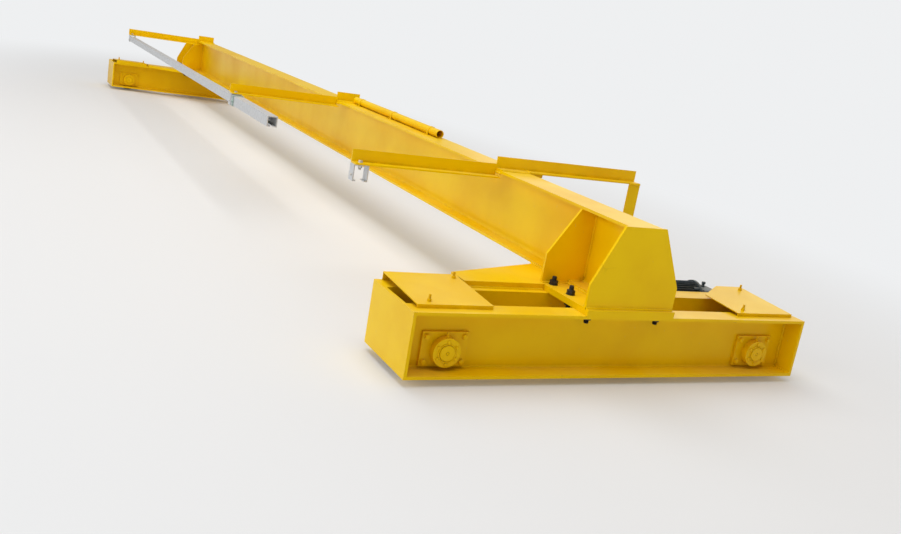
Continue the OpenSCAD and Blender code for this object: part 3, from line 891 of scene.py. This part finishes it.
class CRANE_OT_travel_drives(bpy.types.Operator):
    """Travel motors with fins, cowl and terminal box, and their gearboxes"""

    bl_idname = "crane.travel_drives"
    bl_label = "Travel drives"

    def execute(self, context):
        for end, sign in ENDS:
            box_low, box_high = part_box(end + "_motor")
            centre = Vector(((box_high.x if sign > 0 else box_low.x) - sign * MOTOR_R,
                             box_low.y, box_low.z + MOTOR_R))
            length = box_high.y - box_low.y
            place = stand(centre, (0, 1, 0))
            self.motor(end, sign, place, centre, length)
            self.cowl(end, place)
            self.terminal_box(end, sign, centre, length)
            self.gearbox(end, sign)
        return {"FINISHED"}

    def motor(self, end, sign, place, centre, length):
        """Finned motor along Y, its cowl towards mid-truck."""
        shape = bmesh.new()
        add_turned(shape, ((0.0, 0.03), (SHELL_R, 0.03), (SHELL_R, length - 0.016),
                           (0.063, length - 0.014), (MOTOR_R, length - 0.012),
                           (MOTOR_R, length - 0.001), (0.069, length), (0.0, length)), place, 64)
        fins = sizes().motor_fins
        foot, start, end_z = SHELL_R - 0.002, 0.058, length - 0.014
        box_side = (place.inverted() @ (centre - Vector((sign, 0, 0)))).normalized()
        box_angle = math.atan2(box_side.y, box_side.x)
        for angle in (math.tau * index / fins for index in range(fins)):
            if math.cos(angle - box_angle) <= BOX_GAP_COS:
                add_box(shape, (foot, -FIN_T / 2, start), (FIN_R - foot, FIN_T, end_z - start),
                        0.0006, 1, turned(place, angle))
        for angle in CORNERS:
            turn = turned(place, angle)
            add_box(shape, (foot, -0.007, length - 0.04), (0.011, 0.014, 0.028), 0.002, 2, turn)
            bolt = turned(turn @ Matrix.Translation((0.0625, 0, length - 0.012)), math.pi, "X")
            add_screw(shape, 0.006, bolt)
        motor = finish_piece(end + "_finned_motor", shape, "drive")
        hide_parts(end + "_motor")

    def cowl(self, end, place):
        """Fan cowl with its screws, and the grille in its end."""
        cowl = bmesh.new()
        add_turned(cowl, COWL, place, 64)
        add_turned(cowl, COWL_DISC, place, 40)
        for angle in CORNERS:
            screw = turned(place, angle) @ Matrix.Translation((COWL_R, 0, 0.05))
            add_screw(cowl, 0.005, turned(screw, math.pi / 2, "Y"))
        finish_piece(end + "_motor_cowl", cowl, "drive")
        grille = bmesh.new()
        for inner in (0.024, 0.03, 0.036, 0.042, 0.048):
            outer = inner + 0.0016
            add_turned(grille, ((inner, -0.0004), (outer, -0.0004), (outer, 0.0014),
                                (inner, 0.0014)), place, 56)
        for index in range(6):
            add_box(grille, (0.019, -0.0015, 0.0002), (0.036, 0.003, 0.0016),
                    matrix=turned(place, math.tau * index / 6))
        finish_piece(end + "_cowl_grille", grille, "black plastic")

    def terminal_box(self, end, sign, centre, length):
        """Terminal box with its lid and screws, and the plugs under it."""
        x, y, z = centre
        width, deep, lid_face = 0.07, 0.064, 0.084
        box_y = y + 0.056 + (length - 0.056 - width) / 2
        lid = bmesh.new()
        for inner, outer, bevel in ((0.05, 0.075, 0.003), (0.076, lid_face, 0.0025)):
            add_box(lid, (min(x - sign * inner, x - sign * outer), box_y, z - deep / 2),
                    (outer - inner, width, deep), bevel)
        for dz, dy in product((-0.026, 0.026), (0.006, 0.064)):
            place = (x - sign * (lid_face - 0.003), box_y + dy, z + dz)
            add_screw(lid, 0.004, stand(place, (-sign, 0, 0)))
        finish_piece(end + "_terminal_box", lid, "drive")
        plugs = bmesh.new()
        for dy in (0.02, 0.048):
            place = (x - sign * 0.066, box_y + dy, z - deep / 2)
            add_turned(plugs, GLAND, stand(place, (0, 0, -1)), 24)
        finish_piece(end + "_terminal_plugs", plugs, "black plastic")

    def gearbox(self, end, sign):
        """Shaft ring, ribs, lid, breather and bolts on the gearbox."""
        shape = bmesh.new()
        back, front = truck_x(sign, GEARBOX_BACK), truck_x(sign, GEARBOX_FRONT)
        start, mid = min(back, front), (back + front) / 2
        top, y = high(end + "_gearbox").z, WHEEL_Y
        centre = (back, y, WHEEL_Z)
        add_turned(shape, SHAFT_RING, stand(centre, (-sign, 0, 0)), 64)
        add_bolt_ring(shape, centre, -sign, 0.057, 0.008, 0.25)
        for side in (-1, 1):
            seam = y + side * 0.05
            add_box(shape, (mid - 0.005, seam - 0.003, WHEEL_Z + 0.055),
                    (0.01, 0.006, top - WHEEL_Z - 0.06), 0.0015)
            for z, dx in product((WHEEL_Z + 0.075, top - 0.02), (-0.04, 0.04)):
                add_screw(shape, 0.008, stand((mid + dx, seam, z), (0, side, 0)), z * 9)
        add_box(shape, (start + 0.003, y - 0.047, top - 0.002), (0.114, 0.094, 0.005), 0.0015)
        lid = top + 0.003
        for dx, dy in product((-0.048, 0.048), (-0.038, 0.038)):
            add_screw(shape, 0.006, stand((mid + dx, y + dy, lid)))
        add_turned(shape, BREATHER, stand((mid - 0.02, y + 0.015, lid)), 28)
        finish_piece(end + "_gearbox_fittings", shape, "drive")


class CRANE_OT_festoon_fittings(bpy.types.Operator):
    """Bolts of the track hangers and the clamp round the joint sleeve"""

    bl_idname = "crane.festoon_fittings"
    bl_label = "Festoon fittings"

    def execute(self, context):
        self.hanger_bolts()
        self.sleeve_clamp()
        return {"FINISHED"}

    def hanger_bolts(self):
        """Bolts through each arm and through the cheeks of its hanger."""
        shape = bmesh.new()
        y = (low("festoon_track").y + high("festoon_track").y) / 2
        flat = low("middle_festoon_arm").z
        for node, cheek in zip(ARMS, (0.0356, 0.0356, 0.0293)):
            x = (low(node).x + high(node).x) / 2 + 0.004
            add_bolt(shape, 0.012, stand((x, y, flat + ANGLE_T)))
            if node == "near_festoon_arm":
                add_nut_on_stud(shape, 0.012, stand((x, y, flat - 0.005), (0, 0, -1)), 0.008)
            for side in (-1, 1):
                place = (x, y + side * cheek, flat - 0.048)
                add_bolt(shape, 0.006, stand(place, (0, side, 0)))
        finish_piece("hanger_bolts", shape, "zinc")

    def sleeve_clamp(self):
        """Clamp of flat bar round the track's sleeve, open below."""
        clamp = bmesh.new()
        sleeve_low, sleeve_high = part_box("track_sleeve")
        wall, bar, lip = 0.004, 0.03, 0.018
        width, tall = sleeve_high.y - sleeve_low.y, sleeve_high.z - sleeve_low.z
        full = width + 2 * wall
        x = high("middle_festoon_arm").x + 0.03
        y0, z0 = sleeve_low.y - wall, sleeve_low.z - wall
        for dy, dz, y_size, z_size in (
                (0, wall, wall, tall), (wall + width, wall, wall, tall),
                (0, wall + tall, full, wall), (0, 0, lip, wall), (full - lip, 0, lip, wall)):
            add_box(clamp, (x, y0 + dy, z0 + dz), (bar, y_size, z_size), 0.0008, 1)
        for side, y in ((-1, y0), (1, y0 + full)):
            add_bolt(clamp, 0.008, stand((x + bar / 2, y, z0 + tall / 2), (0, side, 0)))
        finish_piece("sleeve_clamp", clamp, "clamp")


class CRANE_OT_conduit_clamps(bpy.types.Operator):
    """Saddle clamps that hold the conduit on the girder"""

    bl_idname = "crane.conduit_clamps"
    bl_label = "Conduit clamps"

    def execute(self, context):
        start, finish = low("conduit"), high("conduit")
        centre = (start + finish) / 2
        radius, length = (finish.y - start.y) / 2, finish.x - start.x
        self.pipe(start.x, centre, radius, length)
        shape = bmesh.new()
        band, width, foot = 0.0025, 0.022, 0.026
        for x in (start.x + 0.12, centre.x, finish.x - 0.12):
            self.strap(shape, (x - width / 2, centre.y, centre.z), radius, band, width)
            for side in (-1, 1):
                edge = centre.y + side * radius
                add_box(shape, (x - width / 2, min(edge, edge + side * foot), GIRDER_TOP),
                        (width, foot, band), 0.0006, 1)
                add_box(shape, (x - width / 2, min(edge, edge + side * band), GIRDER_TOP),
                        (width, band, radius))
                add_bolt(shape, 0.006, stand((x, edge + side * 0.015, GIRDER_TOP + band)))
        finish_piece("conduit_saddles", shape, "enamel")
        return {"FINISHED"}

    def pipe(self, start_x, centre, radius, length):
        """Open pipe with softened rims."""
        bore, soft = radius - 0.003, 0.0008
        near = [(bore, soft), (bore + soft, 0.0), (radius - soft, 0.0), (radius, soft)]
        far = [(r, length - z) for r, z in reversed(near)]
        pipe = bmesh.new()
        add_turned(pipe, near + far, stand((start_x, centre.y, centre.z), (1, 0, 0)), 56)
        tube = finish_piece("conduit_pipe", pipe, "enamel")
        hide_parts("conduit")

    def strap(self, shape, place, radius, band, width):
        """Half-round band over the pipe, from a place along X."""
        strap = bmesh.new()
        ends = [bmesh.ops.create_vert(strap, co=(0, -r, 0))["vert"][0]
                for r in (radius, radius + band)]
        bmesh.ops.spin(strap, geom=[*ends, strap.edges.new(ends)], cent=(0, 0, 0),
                       axis=(1, 0, 0), dvec=(0, 0, 0), angle=-math.pi, steps=20)
        pushed = bmesh.ops.extrude_face_region(strap, geom=strap.faces[:])
        fresh = [v for v in pushed["geom"] if isinstance(v, bmesh.types.BMVert)]
        bmesh.ops.translate(strap, verts=fresh, vec=(width, 0, 0))
        bmesh.ops.translate(strap, verts=strap.verts[:], vec=place)
        pour(strap, shape)


class CRANE_OT_finishes(bpy.types.Operator):
    """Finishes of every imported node"""

    bl_idname = "crane.finishes"
    bl_label = "Finishes"

    def execute(self, context):
        make_finishes()
        for part in FRAME["record"]["subparts"]:
            mesh = FRAME["nodes"][part["node"]].data
            mesh.materials.clear()
            mesh.materials.append(FINISHES[SLOT_FINISH[part["material_slot"]]])
        return {"FINISHED"}


class CRANE_OT_stage(bpy.types.Operator):
    """Pale floor, soft lights, and the camera at the photograph's angle"""

    bl_idname = "crane.stage"
    bl_label = "Floor, lights and camera"

    def execute(self, context):
        self.floor()
        self.lights()
        self.surround(context)
        self.camera(context)
        context.scene.view_settings.view_transform = "Standard"
        return {"FINISHED"}

    def floor(self):
        """Large floor under the wheels that fades into the backdrop away from the shadow."""
        shape = bmesh.new()
        bmesh.ops.create_grid(shape, x_segments=1, y_segments=1, size=FLOOR_HALF)
        bmesh.ops.translate(shape, verts=shape.verts[:], vec=(0, 0, -FLOOR_GAP))
        floor = place_shape("floor", shape)
        material, tree, shader, vector = start_material("Floor")
        feed(tree, shader, {"Base Color": (*colours().floor, 1), "Roughness": 0.75,
                            "Specular IOR Level": 0.15})
        squeezed = add_node(tree, "VectorMath", {0: vector, 1: (FADE_SQUEEZE, 1.0, 0.0)},
                            operation="MULTIPLY")
        away = add_node(tree, "VectorMath", {0: squeezed.outputs[0]}, operation="LENGTH")
        fade = ramp(tree, away.outputs["Value"], FADE_START, FADE_END)
        far = add_node(tree, "Emission", {"Color": (*BACKDROP, 1)})
        blend_to_output(tree, "Material Output", fade, shader, far)
        floor.data.materials.append(material)

    def lights(self):
        """Soft panels overhead, beside and behind."""
        for name, place, aim, wide, tall, power in LAMPS:
            lamp = bpy.data.lights.new(name, "AREA")
            lamp.shape = "RECTANGLE"
            lamp.size, lamp.size_y = wide, tall
            lamp.energy = power
            holder = place_object(name, lamp)
            holder.location = place
            toward = Vector(aim) - Vector(place)
            holder.rotation_euler = toward.to_track_quat("-Z", "Y").to_euler()

    def surround(self, context):
        """Even warm room light, which the camera sees as the backdrop."""
        world = bpy.data.worlds.new("Studio")
        world.use_nodes = True
        tree = world.node_tree
        fill = tree.nodes["Background"]
        feed(tree, fill, {"Color": (*FILL_COLOUR, 1), "Strength": FILL_STRENGTH})
        seen = add_node(tree, "Background", {"Color": (*BACKDROP, 1), "Strength": 1.0})
        ray = add_node(tree, "LightPath").outputs["Is Camera Ray"]
        blend_to_output(tree, "World Output", ray, fill, seen)
        context.scene.world = world

    def camera(self, context):
        """Camera with the photograph's view."""
        data = bpy.data.cameras.new("camera")
        data.sensor_width = SENSOR_W
        data.lens = FOCAL_PX * SENSOR_W / IMAGE_W
        data.shift_y = SHIFT_Y
        data.clip_end = 200.0
        camera = place_object("camera", data)
        # Without a turn a camera looks straight down, with the top of its image at +Y
        headed = turned(Matrix.Translation(CAMERA_PLACE), CAMERA_YAW - math.pi / 2)
        tilted = turned(headed, CAMERA_PITCH + math.pi / 2, "X")
        camera.matrix_world = turned(tilted, CAMERA_ROLL)
        context.scene.camera = camera


PIECES = (
    CRANE_OT_finishes, CRANE_OT_welds, CRANE_OT_truck_bolts, CRANE_OT_bearing_fittings,
    CRANE_OT_wheel_fittings, CRANE_OT_travel_drives, CRANE_OT_festoon_fittings,
    CRANE_OT_conduit_clamps, CRANE_OT_stage)


class CRANE_PT_panel(bpy.types.Panel):
    """Sizes, colours and steps of the crane bridge"""

    bl_label = "Crane bridge"
    bl_idname = "CRANE_PT_panel"
    bl_space_type = "VIEW_3D"
    bl_region_type = "UI"
    bl_category = "Crane"

    def draw(self, context):
        column = self.layout.column()
        for group in (context.scene.crane_sizes, context.scene.crane_colours):
            for key in group.bl_rna.properties.keys():
                if key not in ("rna_type", "name"):
                    column.prop(group, key)
        for operator in PIECES:
            column.operator(operator.bl_idname)


CLASSES = (CraneFittingSizes, CraneFinishColours, *PIECES, CRANE_PT_panel)


def register():
    for cls in CLASSES:
        bpy.utils.register_class(cls)
    bpy.types.Scene.crane_sizes = bpy.props.PointerProperty(type=CraneFittingSizes)
    bpy.types.Scene.crane_colours = bpy.props.PointerProperty(type=CraneFinishColours)


def unregister():
    del bpy.types.Scene.crane_colours
    del bpy.types.Scene.crane_sizes
    for cls in reversed(CLASSES):
        bpy.utils.unregister_class(cls)


def main():
    """Builds the looks step by step."""
    register()
    for operator in PIECES:
        group, step = operator.bl_idname.split(".")
        getattr(getattr(bpy.ops, group), step)()
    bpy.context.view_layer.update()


if __name__ == "__main__":
    main()
